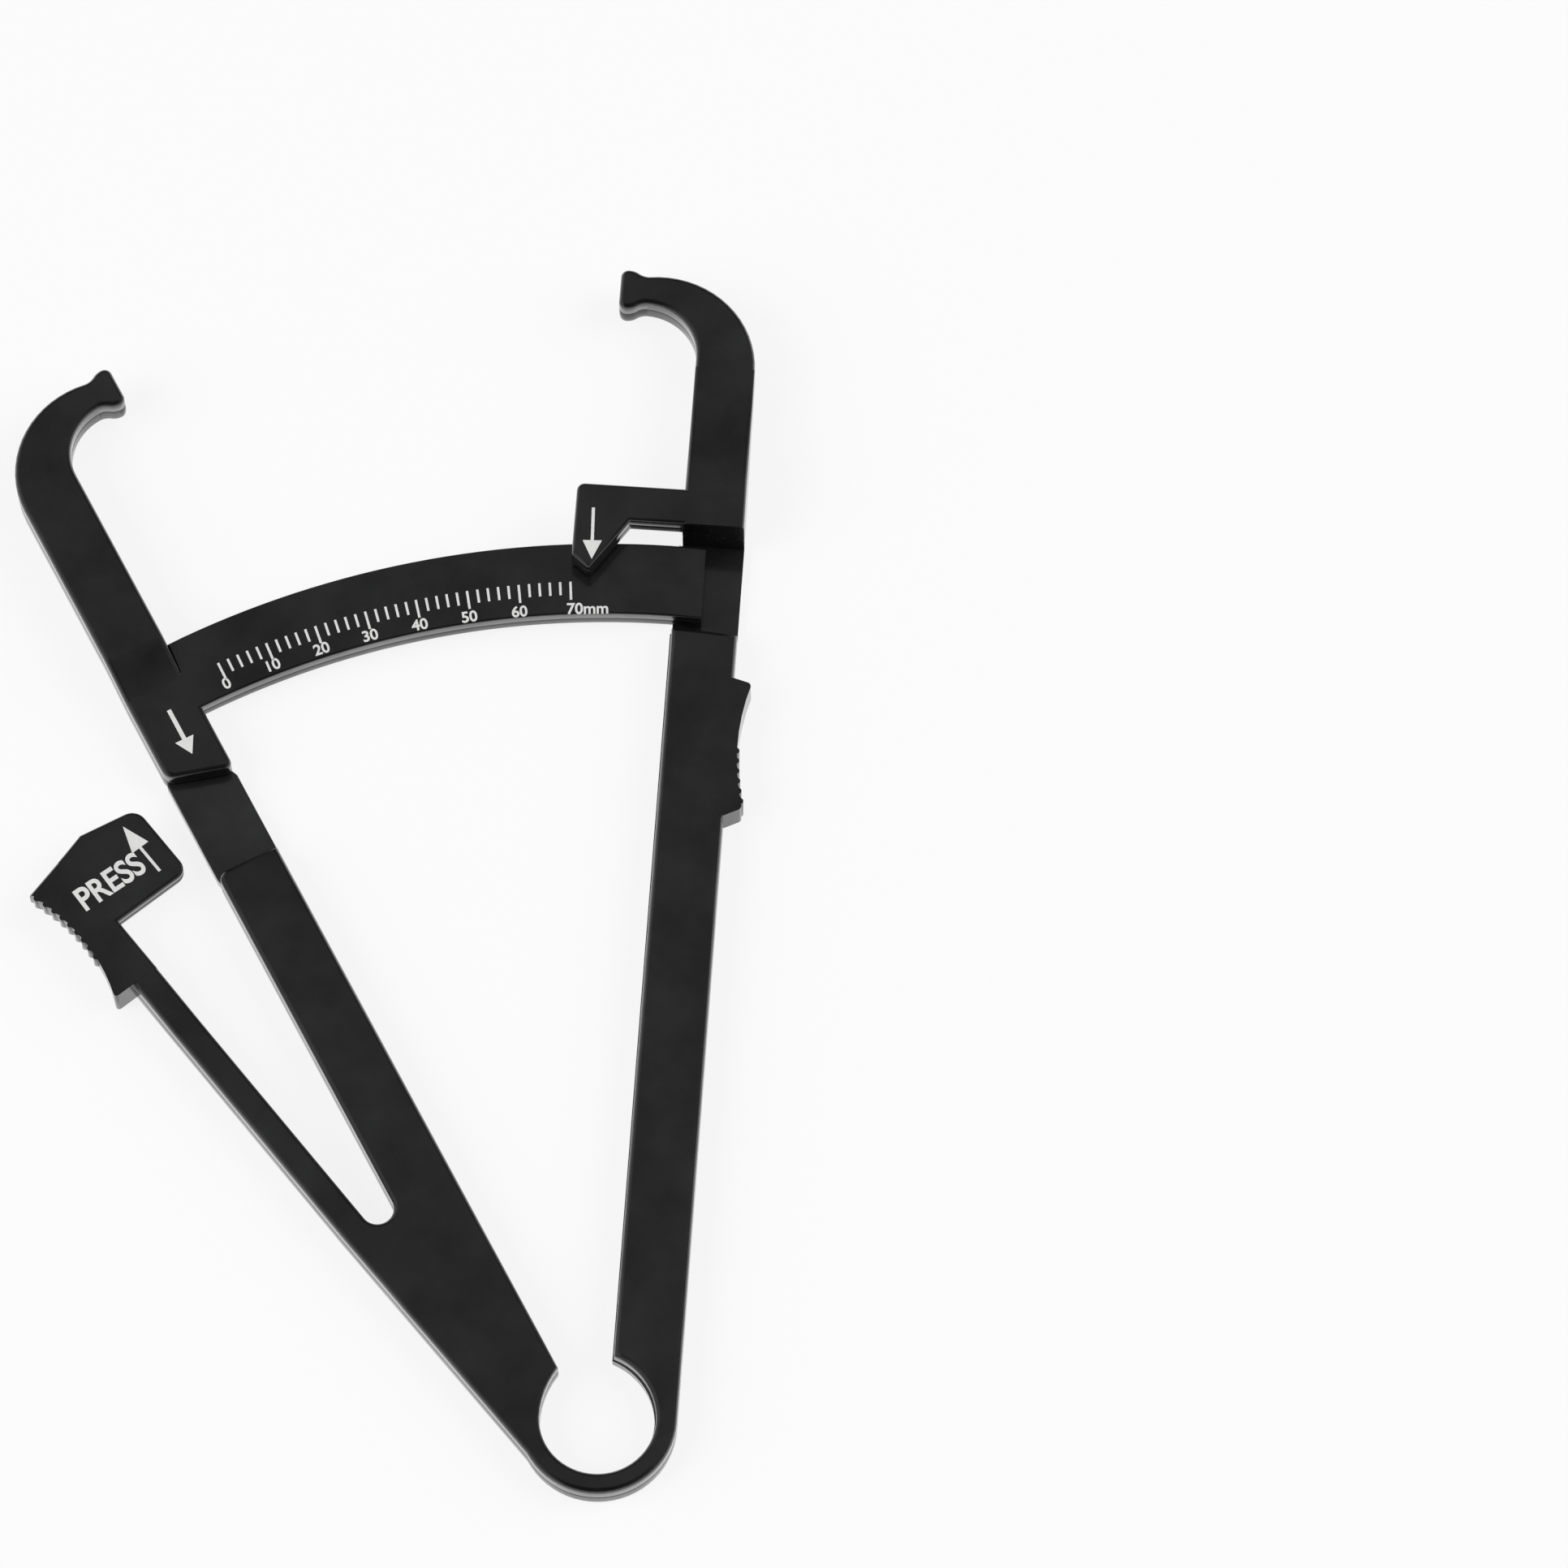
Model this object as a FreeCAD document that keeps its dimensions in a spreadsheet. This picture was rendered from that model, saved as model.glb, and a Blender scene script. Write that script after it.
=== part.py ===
import FreeCAD, Part
import math
import os
import re
import Sketcher

# A plastic skinfold caliper, lying flat with its printed face up: one moulding, cut here into
# the stretches that differ in section or in job, and the white print on it.
# Origin: the centre of the spring ring's hole, on the plane that the caliper rests on.
# +Y runs from the ring towards the jaws, +Z points out of the printed face.
# Each arm, and the thumb lever, has a frame of its own that leans away from +Y about the
# ring's centre. "Along" is measured up the arm from the ring, "across" from the arm's axis:
# positive away from the other arm, negative towards it.

doc = FreeCAD.newDocument("skinfold_caliper")

# ------------------------------------------------------- driving dimensions (mm, degrees)
DRIVING = [
    # the two arms and the spring ring that joins them
    ("ringHole", 7.9), ("ringWall", 2.85), ("barThick", 4.8), ("floorThick", 1.3),
    ("leftLean", 27.63), ("rightLean", 3.79), ("armInner", 1.6), ("upperInner", 2.05),
    ("hingeGap", 0.3), ("slideGap", 0.3), ("edgeRound", 0.6), ("fineRound", 0.3),
    ("armToe", 1.0), ("rootEnd", 12.0),
    # the scale arc and the channel that it runs in
    ("arcInner", 117.8), ("arcWidth", 10.8), ("arcThick", 3.7), ("arcEnd", 6.1),
    ("arcRound", 0.8), ("playBelow", 1.4), ("playAbove", 0.8),
    # the left arm: slanted step below the arc, recess below the step, rise beside the arc
    ("stepDrop", 10.1), ("stepSlant", 2.7), ("recessLong", 13.1), ("recessLip", 0.3),
    ("recessThick", 2.3), ("leftRiseAt", 4.8), ("leftRiseLong", 7.4),
    # the right arm: thick block above the channel, then a fall to the level of the jaw
    ("rightRiseLong", 14.5), ("straightLong", 5.6),
    # hooks and jaw tips
    ("jawBase", 2.0), ("jawThick", 5.2), ("hookRadius", 13.75), ("throatRadius", 7.85),
    ("throatRise", 1.6), ("tipReach", 9.5), ("tipLong", 4.0), ("tipRound", 1.1),
    ("flareHigh", 1.18), ("flareLow", 0.94), ("neckDip", 0.15), ("readRise", 3.9),
    # the flag with the pointer
    ("flagThick", 3.6), ("flagGap", 1.7), ("flagWidth", 5.2), ("flagLip", 2.5),
    ("flagRound", 1.1), ("pointerAcross", 10.6), ("pointerFlat", 0.5), ("pointerDrop", 5.2),
    ("pointerSide", 1.6), ("pointerFlare", 5.15),
    # the finger rest
    ("gripDrop", 7.2), ("gripLong", 20.8), ("gripDepth", 2.6), ("gripToe", 1.3),
    ("gripBrow", 0.7), ("gripRadius", 33.0), ("gripRound", 0.5),
    ("grooveRadius", 0.45), ("grooveStep", 1.5), ("grooveInset", 1.05), ("grooveLift", 0.11),
    ("fingerGrooves", 6),
    # the thumb lever: its beam, tab and thumb block
    ("beamLean", 38.8), ("beamInner", 7.25), ("beamWidth", 3.9), ("forkRise", 0.5),
    ("slotRadius", 2.3), ("tabPlay", 0.4), ("stepPlay", 0.85), ("tabReach", 5.0),
    ("tabRound", 1.8), ("peakRise", 1.7), ("peakInset", 3.65), ("browDrop", 2.8),
    ("ledgeDrop", 8.8), ("thumbDepth", 7.15), ("thumbRadius", 28.0), ("thumbGrooves", 9),
    # the print
    ("inkThick", 0.05), ("tickWidth", 0.34), ("tickInset", 4.9), ("shortTick", 2.0),
    ("longTick", 2.75), ("tickStep", 2.0), ("tickFives", 5), ("fullScale", 70.0),
    ("shaftWidth", 0.62), ("thinShaft", 0.42), ("headWidth", 2.8), ("headLong", 2.55),
    ("arrowLong", 7.45), ("arrowMargin", 0.55), ("armArrowRise", 2.95), ("armArrowShift", 0.3),
    ("tabArrowInset", 3.2), ("tabArrowDrop", 1.1), ("tabArrowLong", 8.5), ("tabHeadLong", 4.0),
]

# ------------------------------------------------------- dimensions that follow from them
DERIVED = [
    ("ringOuter", "ringHole + ringWall"),
    ("ringSeat", "ringOuter + hingeGap"),
    ("openAngle", "leftLean + rightLean"),
    ("gapReach", "3 * ringOuter"),
    ("armOuter", "ringOuter"),
    ("toeAcross", "armOuter - armToe"),
    ("arcOuter", "arcInner + arcWidth"),
    ("arcBase", "floorThick + slideGap"),
    ("arcTop", "arcBase + arcThick"),
    ("flagBase", "arcTop + slideGap"),
    ("flagTop", "flagBase + flagThick"),
    ("jawTop", "jawBase + jawThick"),
    ("stepInner", "arcInner - stepDrop"),
    ("stepOuter", "stepInner + stepSlant"),
    ("recessStart", "stepInner - recessLong"),
    ("leftRiseStart", "arcInner + leftRiseAt"),
    ("leftRiseEnd", "leftRiseStart + leftRiseLong"),
    ("channelLow", "arcInner - playBelow"),
    ("channelHigh", "arcOuter + playAbove"),
    ("flagLow", "arcOuter + flagGap"),
    ("blockStart", "sqrt(channelHigh ^ 2 - armOuter ^ 2)"),
    ("blockEnd", "flagLow + flagWidth"),
    ("rightRiseEnd", "blockEnd + rightRiseLong"),
    ("hookBase", "rightRiseEnd + straightLong"),
    ("neckAcross", "tipLong - tipReach"),
    ("neckTop", "hookBase + sqrt(hookRadius ^ 2 - (armOuter - neckAcross - hookRadius) ^ 2)"
                " - neckDip"),
    ("throatAlong", "hookBase + throatRise"),
    ("neckLow", "throatAlong + sqrt(throatRadius ^ 2 - (upperInner - neckAcross"
                " - throatRadius) ^ 2)"),
    ("tipLow", "neckLow - flareLow"),
    ("tipHigh", "neckTop + flareHigh"),
    ("flankLong", "tipLong - tipRound"),
    ("highFlank", "(flankLong ^ 2 + flareHigh ^ 2) / (4 * flareHigh)"),
    ("lowFlank", "(flankLong ^ 2 + flareLow ^ 2) / (4 * flareLow)"),
    ("pointerLow", "arcOuter - pointerDrop"),
    ("gripEnd", "channelLow - gripDrop"),
    ("gripStart", "gripEnd - gripLong"),
    ("gripCrest", "armOuter + gripDepth"),
    ("beamOuter", "beamInner + beamWidth"),
    ("beamMiddle", "beamInner + beamWidth / 2"),
    ("beamHalf", "beamWidth / 2"),
    ("forkAngle", "beamLean - leftLean"),
    ("slotAcross", "armOuter + slotRadius"),
    ("slotAlong", "(slotAcross * cos(forkAngle) - beamInner + slotRadius) / sin(forkAngle)"),
    ("forkTop", "slotAcross * sin(forkAngle) + slotAlong * cos(forkAngle) + forkRise"),
    ("leverPivot", "forkTop + hingeGap + beamHalf"),
    ("rootAcross", "ringOuter + (beamOuter - ringOuter) * rootEnd / forkTop"),
    ("pressShift", "beamMiddle * sin(forkAngle) + leverPivot * (1 - cos(forkAngle))"),
    ("tabBase", "recessThick + slideGap"),
    ("tabThick", "arcTop - tabBase"),
    ("tabLow", "recessStart + pressShift + tabPlay"),
    ("tabHigh", "stepInner + pressShift - stepPlay"),
    ("peakAcross", "beamInner - peakInset"),
    ("peakAlong", "tabHigh + peakRise"),
    ("thumbAcross", "beamInner + thumbDepth"),
    ("thumbHigh", "peakAlong - browDrop"),
    ("thumbInner", "peakAlong - browDrop * peakInset / (peakInset + thumbDepth)"),
    ("ledge", "tabLow - ledgeDrop"),
    ("tickTop", "arcInner + tickInset"),
    ("jawAlong", "tipLow + readRise"),
    ("jawRadius", "sqrt(tipReach ^ 2 + jawAlong ^ 2)"),
    ("degreesPerMm", "180 / (pi * jawRadius)"),
    ("zeroAngle", "2 * atan(tipReach / jawAlong) / 1deg - atan(pointerAcross / pointerLow) / 1deg"),
    ("scaleAngle", "fullScale * degreesPerMm"),
]

sheet = doc.addObject("Spreadsheet::Sheet", "sizes")
for row, (alias, value) in enumerate(DRIVING + DERIVED, start=1):
    sheet.set("A%d" % row, alias)
    sheet.set("B%d" % row, "=" + value if isinstance(value, str) else str(value))
    sheet.setAlias("B%d" % row, alias)
doc.recompute()


def size(formula):
    """The value of a formula on the table's names."""
    return float(sheet.evalExpression(formula))


def bound(formula):
    """The same formula as an expression for another object."""
    return re.sub(r"\b([A-Za-z]\w*)\b(?!\s*\()", r"sizes.\1", formula)


# ------------------------------------------------------- frames, sketches and features
UP = FreeCAD.Vector(0, 0, 1)
# how each frame turns about +Z, and whether "across" runs along its -X
FRAMES = {"left": ("leftLean", True), "right": ("0 - rightLean", False), "lever": ("beamLean", True)}


def newBody(label, frame, base):
    """A body in an arm's frame, standing at the height base."""
    turn, mirrored = FRAMES[frame]
    body = doc.addObject("PartDesign::Body", label)
    body.Label = label
    body.setExpression("Placement", "placement(vector(0; 0; %s); rotation(vector(0; 0; 1); %s))"
                       % (bound(base), bound(turn)))
    doc.recompute()
    return body, mirrored


def originItem(body, role):
    return next(item for item in body.Origin.OriginFeatures if item.Role == role)


def newSketch(body, name, role="XY_Plane"):
    sketch = body.newObject("Sketcher::SketchObject", body.Label + "_" + name)
    sketch.AttachmentSupport = [(originItem(body, role), "")]
    sketch.MapMode = "FlatFace"
    return sketch


def flip(formula, mirrored):
    return "0 - (%s)" % formula if mirrored else formula


def tie(sketch, kind, formula, *where):
    """A constraint whose value is bound to a formula."""
    value = size(formula)
    index = sketch.addConstraint(Sketcher.Constraint(kind, *where, value))
    sketch.setExpression("Constraints[%d]" % index, bound(formula))


def tiePoint(sketch, edge, end, across, along):
    tie(sketch, "DistanceX", across, -1, 1, edge, end)
    tie(sketch, "DistanceY", along, -1, 1, edge, end)


def addOutline(sketch, points, mirrored=False):
    """A closed outline through points (across, along) or (across, along, radius). With a
    radius, the edge to the next point is an arc that swells to the left of the way there,
    or to the right where the radius has a minus sign."""
    corners = [FreeCAD.Vector(size(flip(p[0], mirrored)), size(p[1]), 0) for p in points]
    edges = []
    for i, point in enumerate(points):
        start, end = corners[i], corners[(i + 1) % len(points)]
        if len(point) == 2:
            edges.append((sketch.addGeometry(Part.LineSegment(start, end), False), 1, 2))
            continue
        radius = size(point[2].lstrip("-"))
        swellsLeft = point[2].startswith("-") == mirrored
        chord = end - start
        side = FreeCAD.Vector(-chord.y, chord.x, 0).normalize()
        if not swellsLeft:
            side = -side
        rise = radius - math.sqrt(radius ** 2 - chord.Length ** 2 / 4)
        arc = sketch.addGeometry(Part.Arc(start, (start + end) / 2 + side * rise, end), False)
        # a sketch keeps its arcs anticlockwise, so one that swells to the left is turned round
        edges.append((arc, 2, 1) if swellsLeft else (arc, 1, 2))
    for i, (edge, first, last) in enumerate(edges):
        following, start, _ = edges[(i + 1) % len(edges)]
        sketch.addConstraint(Sketcher.Constraint("Coincident", edge, last, following, start))
        tiePoint(sketch, edge, first, flip(points[i][0], mirrored), points[i][1])
        if len(points[i]) == 3:
            tie(sketch, "Radius", points[i][2].lstrip("-"), edge)


def addCircle(sketch, across, along, radius, mirrored=False):
    across = flip(across, mirrored)
    centre = FreeCAD.Vector(size(across), size(along), 0)
    edge = sketch.addGeometry(Part.Circle(centre, UP, size(radius)), False)
    tiePoint(sketch, edge, 3, across, along)
    tie(sketch, "Radius", radius, edge)


def pad(body, sketch, height, reverse=False):
    feature = body.newObject("PartDesign::Pad", sketch.Name + "_pad")
    feature.Profile = sketch
    feature.Reversed = reverse
    feature.setExpression("Length", bound(height))
    doc.recompute()
    return feature


def cutThrough(body, sketch):
    """A pocket up through the whole body, which has to take material away."""
    before = body.Shape.Volume
    feature = body.newObject("PartDesign::Pocket", sketch.Name + "_cut")
    feature.Profile = sketch
    feature.Type = "ThroughAll"
    feature.Reversed = True
    doc.recompute()
    if body.Shape.Volume > before - 1e-6:
        raise RuntimeError(sketch.Name + " cuts nothing")


def cutDisc(body, name, radius, across="0", along="0", mirrored=False):
    sketch = newSketch(body, name)
    addCircle(sketch, across, along, radius, mirrored)
    cutThrough(body, sketch)


def roundEdges(body, name, radius, wanted):
    """Rounds the edges that wanted(edge) picks from the body so far."""
    feature = body.Tip
    names = ["Edge%d" % i for i, edge in enumerate(feature.Shape.Edges, start=1) if wanted(edge)]
    if not names:
        raise RuntimeError(body.Label + " has no edge to round for " + name)
    fillet = body.newObject("PartDesign::Fillet", body.Label + "_" + name)
    fillet.Base = (feature, names)
    fillet.setExpression("Radius", bound(radius))
    doc.recompute()


def roundCorner(body, mirrored, radius, across, along):
    """Rounds the upright edge at one corner of the outline."""
    corner = FreeCAD.Vector(size(flip(across, mirrored)), size(along), 0)

    def standsThere(edge):
        ends = [vertex.Point for vertex in edge.Vertexes]
        flat = [FreeCAD.Vector(p.x, p.y, 0) for p in ends]
        return len(ends) == 2 and all(p.distanceToPoint(corner) < 1e-4 for p in flat)

    roundEdges(body, "corner%d" % len(body.Group), radius, standsThere)


def middleOf(edge):
    return edge.valueAt((edge.FirstParameter + edge.LastParameter) / 2)


def roundTop(body, mirrored, height, radius="edgeRound", seams=()):
    """Rounds the rim of the top face, but for the stretches that a neighbour continues. A
    seam is two points of a straight line, or one radius of a circle about the ring."""
    level = size(height)

    def onSeam(point):
        for seam in seams:
            if isinstance(seam, str):
                distance = math.hypot(point.x, point.y) - size(seam)
            else:
                start, end = [FreeCAD.Vector(size(flip(a, mirrored)), size(b), 0) for a, b in seam]
                distance = (point - start).cross((end - start).normalize()).z
            if abs(distance) < 1e-3:
                return True
        return False

    def onRim(edge):
        points = [vertex.Point for vertex in edge.Vertexes] + [middleOf(edge)]
        return all(abs(p.z - level) < 1e-4 for p in points) and not onSeam(middleOf(edge))

    roundEdges(body, "rim", radius, onRim)


def roundRise(body, mirrored, innerFrom):
    """Rounds the upper edges of a rising arm, on the inner side only above innerFrom."""
    inner, outer, low, start = [size(f) for f in ("upperInner", "armOuter", "arcTop", innerFrom)]

    def onTop(edge):
        points = [vertex.Point for vertex in edge.Vertexes]
        across = [-p.x if mirrored else p.x for p in points]
        if min(p.z for p in points) < low - 1e-4 or abs(across[0] - across[1]) > 1e-4:
            return False
        if abs(points[0].y - points[1].y) < 1e-4:
            return False
        atInner = abs(across[0] - inner) < 1e-4 and min(p.y for p in points) > start - 1e-4
        return atInner or abs(across[0] - outer) < 1e-4

    roundEdges(body, "rim", "edgeRound", onTop)


def section(label, frame, base, height, points):
    """A flat stretch: an outline in the arm's frame, raised from base by height."""
    body, mirrored = newBody(label, frame, base)
    sketch = newSketch(body, "outline")
    addOutline(sketch, points, mirrored)
    pad(body, sketch, height)
    return body, mirrored


def risingArm(label, frame, profile):
    """A stretch of an upper arm from its side view, as points (along, height)."""
    body, mirrored = newBody(label, frame, "0")
    sketch = newSketch(body, "side", "YZ_Plane")
    addOutline(sketch, profile)
    sketch.setExpression("AttachmentOffset.Base.z", bound(flip("upperInner", mirrored)))
    pad(body, sketch, "armOuter - upperInner", reverse=mirrored)
    return body, mirrored


def inwards(radius, angle):
    """A point on a circle about the ring, at an angle from the arm towards the other arm."""
    return "0 - %s * sin(%s)" % (radius, angle), "%s * cos(%s)" % (radius, angle)


def onCircle(radius, across):
    """A point on a circle about the ring, at a place across the arm."""
    return across, "sqrt(%s ^ 2 - (%s) ^ 2)" % (radius, across)


def fromFork(across, along):
    """A point given in the lever's frame, seen from the left arm's frame."""
    return ("%s * cos(forkAngle) + %s * sin(forkAngle)" % (across, along),
            "%s * cos(forkAngle) - %s * sin(forkAngle)" % (along, across))


# ------------------------------------------------------- what both arms have at their ends
def jawHook(label, frame):
    """The hook: an outer and an inner arc that narrow from the arm to the neck."""
    body, mirrored = section(label, frame, "jawBase", "jawThick", [
        ("upperInner", "hookBase"),
        ("armOuter", "hookBase", "-hookRadius"),
        ("neckAcross", "neckTop"),
        ("neckAcross", "neckLow", "throatRadius"),
        ("upperInner", "throatAlong")])
    roundTop(body, mirrored, "jawThick", seams=[
        (("upperInner", "hookBase"), ("armOuter", "hookBase")),
        (("neckAcross", "neckLow"), ("neckAcross", "neckTop"))])


def jawTip(label, frame):
    """The flared pad that touches the skin, its flat face towards the other jaw. Each flank
    is a hollow arc from the neck and a full one of the same radius, up to a round corner."""
    body, mirrored = section(label, frame, "jawBase", "jawThick", [
        ("neckAcross", "neckLow"),
        ("neckAcross", "neckTop", "highFlank"),
        ("neckAcross - flankLong / 2", "(neckTop + tipHigh) / 2", "-highFlank"),
        ("tipRound - tipReach", "tipHigh", "-tipRound"),
        ("0 - tipReach", "tipHigh - tipRound"),
        ("0 - tipReach", "tipLow + tipRound", "-tipRound"),
        ("tipRound - tipReach", "tipLow", "-lowFlank"),
        ("neckAcross - flankLong / 2", "(neckLow + tipLow) / 2", "lowFlank")])
    roundTop(body, mirrored, "jawThick", "fineRound", seams=[
        (("neckAcross", "neckLow"), ("neckAcross", "neckTop"))])


def arrow(label, frame, base, across, tip, length, headLong, shaft, down=True):
    """A printed arrow that lies along its arm; "down" points it towards the ring."""
    step = "+" if down else "-"
    neck = "%s %s %s" % (tip, step, headLong)
    tail = "%s %s %s" % (tip, step, length)
    section(label, frame, base, "inkThick", [
        (across, tip),
        ("%s + headWidth / 2" % across, neck),
        ("%s + %s / 2" % (across, shaft), neck),
        ("%s + %s / 2" % (across, shaft), tail),
        ("%s - %s / 2" % (across, shaft), tail),
        ("%s - %s / 2" % (across, shaft), neck),
        ("%s - headWidth / 2" % across, neck)])


def cutGrooves(body, mirrored, count, crest, low, high, radius, fromTop):
    """Small round grooves, one grooveStep apart, along an edge hollowed to a radius. Their
    centres lie grooveLift off the edge, the first one grooveInset from the edge's end."""
    sketch = newSketch(body, "grooves")
    half = "((%s) - (%s)) / 2" % (high, low)
    centre = "%s + sqrt(%s ^ 2 - (%s) ^ 2)" % (crest, radius, half)
    middle = "((%s) + (%s)) / 2" % (high, low)
    for i in range(count):
        step = "(%s - grooveInset - %d * grooveStep)" % (half, i)
        if not fromTop:
            step = "(0 - %s)" % step
        across = "%s - sqrt(%s ^ 2 - %s ^ 2) + grooveLift" % (centre, radius, step)
        addCircle(sketch, across, "%s + %s" % (middle, step), "grooveRadius", mirrored)
    cutThrough(body, sketch)


# ------------------------------------------------------- the spring ring
# An open ring, cut along the inner edges of the two arms, whose lines meet inside its hole.
# The left arm's root belongs to it.
rootSeam = [("armInner", "rootEnd"), fromFork("rootAcross", "rootEnd")]
ring, mirrored = newBody("spring_ring", "left", "0")
ringSketch = newSketch(ring, "disc")
addCircle(ringSketch, "0", "0", "ringOuter")
pad(ring, ringSketch, "barThick")
rootSketch = newSketch(ring, "root")
addOutline(rootSketch, [("armInner", "0")] + rootSeam + [fromFork("ringOuter", "0")], mirrored)
pad(ring, rootSketch, "barThick")
cutDisc(ring, "hole", "ringHole")
gapSketch = newSketch(ring, "gap")
addOutline(gapSketch, [
    ("armInner", "0 - armInner / tan(openAngle / 2)"),
    ("armInner", "gapReach"),
    ("0 - gapReach * sin(openAngle) - armInner * cos(openAngle)",
     "gapReach * cos(openAngle) - armInner * sin(openAngle)")], mirrored)
cutThrough(ring, gapSketch)
roundTop(ring, mirrored, "barThick", seams=[rootSeam])

# ------------------------------------------------------- the left arm
# The web: the lower arm and, below the slot's round end, the fork that the lever's beam
# springs from.
web, mirrored = section("left_arm_lower", "left", "0", "barThick", [
    ("armInner", "rootEnd"),
    ("armInner", "recessStart"),
    ("armOuter", "recessStart"),
    ("armOuter", "slotAlong", "-slotRadius"),
    ("slotAcross + slotRadius * cos(forkAngle)", "slotAlong - slotRadius * sin(forkAngle)"),
    fromFork("beamInner", "forkTop"),
    fromFork("beamOuter", "forkTop"),
    fromFork("rootAcross", "rootEnd")])
roundTop(web, mirrored, "barThick", seams=[
    rootSeam, (fromFork("beamInner", "forkTop"), fromFork("beamOuter", "forkTop"))])

recess, mirrored = section("left_arm_recess", "left", "0", "recessThick", [
    ("armInner - recessLip", "recessStart"),
    ("armInner - recessLip", "stepInner"),
    ("upperInner", "stepInner"),
    ("armOuter", "stepOuter"),
    ("armOuter", "recessStart")])

# The thick stretch above the slanted step, which rises to the level of the jaw. Below the arc
# its inner side lies in line with the web's.
leftUpper, mirrored = risingArm("left_arm_upper", "left", [
    ("stepInner", "0"),
    ("leftRiseStart", "0"),
    ("leftRiseEnd", "jawBase"),
    ("hookBase", "jawBase"),
    ("hookBase", "jawTop"),
    ("leftRiseEnd", "jawTop"),
    ("leftRiseStart", "arcTop"),
    ("stepInner", "arcTop")])
stepSketch = newSketch(leftUpper, "step")
addOutline(stepSketch, [
    ("upperInner", "stepInner"),
    ("armOuter", "stepOuter"),
    ("armOuter", "stepInner")], mirrored)
cutThrough(leftUpper, stepSketch)
browSketch = newSketch(leftUpper, "brow")
addOutline(browSketch, [
    ("armInner", "stepInner"),
    onCircle("arcInner", "armInner"),
    onCircle("arcInner", "upperInner"),
    ("upperInner", "stepInner")], mirrored)
pad(leftUpper, browSketch, "arcTop")
roundRise(leftUpper, mirrored, "leftRiseStart")
jawHook("left_jaw_hook", "left")
jawTip("left_jaw_tip", "left")

# The scale arc is concentric with the ring, so it slides through the right arm's channel.
arc, mirrored = section("scale_arc", "left", "arcBase", "arcThick", [
    onCircle("arcInner", "upperInner") + ("-arcInner",),
    inwards("arcInner", "(leftLean + arcEnd)"),
    inwards("arcOuter", "(leftLean + arcEnd)") + ("arcOuter",),
    onCircle("arcOuter", "upperInner")])
for radius in ("arcInner", "arcOuter"):
    roundCorner(arc, mirrored, "arcRound", *inwards(radius, "(leftLean + arcEnd)"))
roundTop(arc, mirrored, "arcThick", "fineRound", seams=[
    (("upperInner", "0"), ("upperInner", "arcOuter"))])

# The ticks: the scale reads the distance between the jaws' faces, readRise above their lower
# ends, so nought lies under the pointer when the jaws meet.
ticks, mirrored = newBody("scale_graduations", "left", "arcTop")
for name, length, copies in (("short", "shortTick", "fullScale / tickStep + 1"),
                             ("long", "longTick", "fullScale / (tickStep * tickFives) + 1")):
    tickSketch = newSketch(ticks, name)
    addOutline(tickSketch, [
        ("0 - tickWidth / 2", "tickTop"),
        ("0 - tickWidth / 2", "tickTop - %s" % length),
        ("tickWidth / 2", "tickTop - %s" % length),
        ("tickWidth / 2", "tickTop")])
    tickSketch.setExpression("AttachmentOffset.Rotation.Angle", "0 - sizes.zeroAngle")
    tick = pad(ticks, tickSketch, "inkThick")
    row = ticks.newObject("PartDesign::PolarPattern", "ticks_" + name)
    row.Originals = [tick]
    row.Axis = (originItem(ticks, "Z_Axis"), [""])
    row.Reversed = True
    row.setExpression("Angle", bound("scaleAngle"))
    row.setExpression("Occurrences", bound(copies))
    ticks.Tip = row
    doc.recompute()

arrow("left_arm_arrow", "left", "arcTop", "(armInner + armOuter) / 2 - armArrowShift",
      "(stepInner + stepOuter) / 2 + armArrowRise", "arrowLong", "headLong", "shaftWidth")

# ------------------------------------------------------- the right arm
# Its lower end is hollow, concentric with the ring, so that it can turn about the ring.
rightLower, mirrored = section("right_arm_lower", "right", "0", "barThick", [
    onCircle("ringSeat", "armInner"),
    onCircle("channelLow", "armInner") + ("channelLow",),
    onCircle("channelLow", "armOuter"),
    ("armOuter", onCircle("ringSeat", "toeAcross")[1]),
    onCircle("ringSeat", "toeAcross") + ("-ringSeat",)])
roundTop(rightLower, mirrored, "barThick", seams=["ringSeat"])

grip, mirrored = section("finger_grip", "right", "0", "barThick", [
    ("armOuter", "gripStart"),
    ("armOuter", "gripEnd"),
    ("gripCrest", "gripEnd - gripBrow", "-gripRadius"),
    ("gripCrest", "gripStart + gripToe")])
roundCorner(grip, mirrored, "gripRound", "gripCrest", "gripEnd - gripBrow")
roundCorner(grip, mirrored, "gripRound", "gripCrest", "gripStart + gripToe")
roundTop(grip, mirrored, "barThick", "fineRound", seams=[
    (("armOuter", "0"), ("armOuter", "gripEnd"))])
cutGrooves(grip, mirrored, int(size("fingerGrooves")), "gripCrest", "gripStart + gripToe",
           "gripEnd - gripBrow", "gripRadius", False)

section("right_arm_channel", "right", "0", "floorThick", [
    onCircle("channelLow", "armInner"),
    onCircle("channelHigh", "armInner") + ("channelHigh",),
    onCircle("channelHigh", "armOuter"),
    onCircle("channelLow", "armOuter") + ("-channelLow",)])

# The thick block above the channel, which falls to the level of the jaw.
rightUpper, mirrored = risingArm("right_arm_upper", "right", [
    ("blockStart", "0"),
    ("blockEnd", "0"),
    ("rightRiseEnd", "jawBase"),
    ("hookBase", "jawBase"),
    ("hookBase", "jawTop"),
    ("rightRiseEnd", "jawTop"),
    ("blockEnd", "flagTop"),
    ("blockStart", "flagTop")])
cutDisc(rightUpper, "channel_wall", "channelHigh")
roundRise(rightUpper, mirrored, "blockEnd")
jawHook("right_jaw_hook", "right")
jawTip("right_jaw_tip", "right")

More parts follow.
